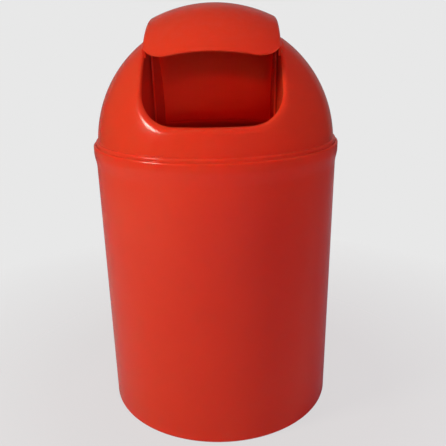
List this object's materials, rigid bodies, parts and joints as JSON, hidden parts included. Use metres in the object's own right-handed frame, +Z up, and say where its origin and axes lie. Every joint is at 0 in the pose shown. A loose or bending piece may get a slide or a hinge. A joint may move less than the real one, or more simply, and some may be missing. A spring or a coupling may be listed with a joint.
{
  "type": "waste receptacle",
  "caption": "Round glossy plastic waste receptacle: tapered pail, lift-off dome lid with a wide front mouth, and a raised hood that rolls forward over the mouth",
  "frame": {"origin": "middle of the circle that the pail stands on, at floor level", "axes": "+Z up, the mouth faces -Y, +X to the right of a person who looks into the mouth"},
  "size_m": [0.4014, 0.4014, 0.6724],
  "materials": {
    "shell_red": "glossy injection-moulded polypropylene, red-orange right through",
    "pivot_nylon": "natural off-white nylon",
    "clip_steel": "zinc-plated spring steel"
  },
  "bodies": {
    "pail": {"pail": "shell_red"},
    "lid": {"dome_lid": "shell_red", "left_pivot_pin": "pivot_nylon", "right_pivot_pin": "pivot_nylon", "left_retaining_clip": "clip_steel", "right_retaining_clip": "clip_steel"},
    "hood": {"hood": "shell_red", "left_pivot_bush": "pivot_nylon", "right_pivot_bush": "pivot_nylon"}
  },
  "joints": [
    {"name": "lid_lift", "type": "slide", "parent": "pail", "child": "lid", "axis": [0, 0, 1], "range_m": [0, 0.15]},
    {"name": "hood_roll", "type": "hinge", "parent": "lid", "child": "hood", "pos_m": [0, 0, 0.4535], "axis": [1, 0, 0], "range_deg": [0, 33]}
  ]
}
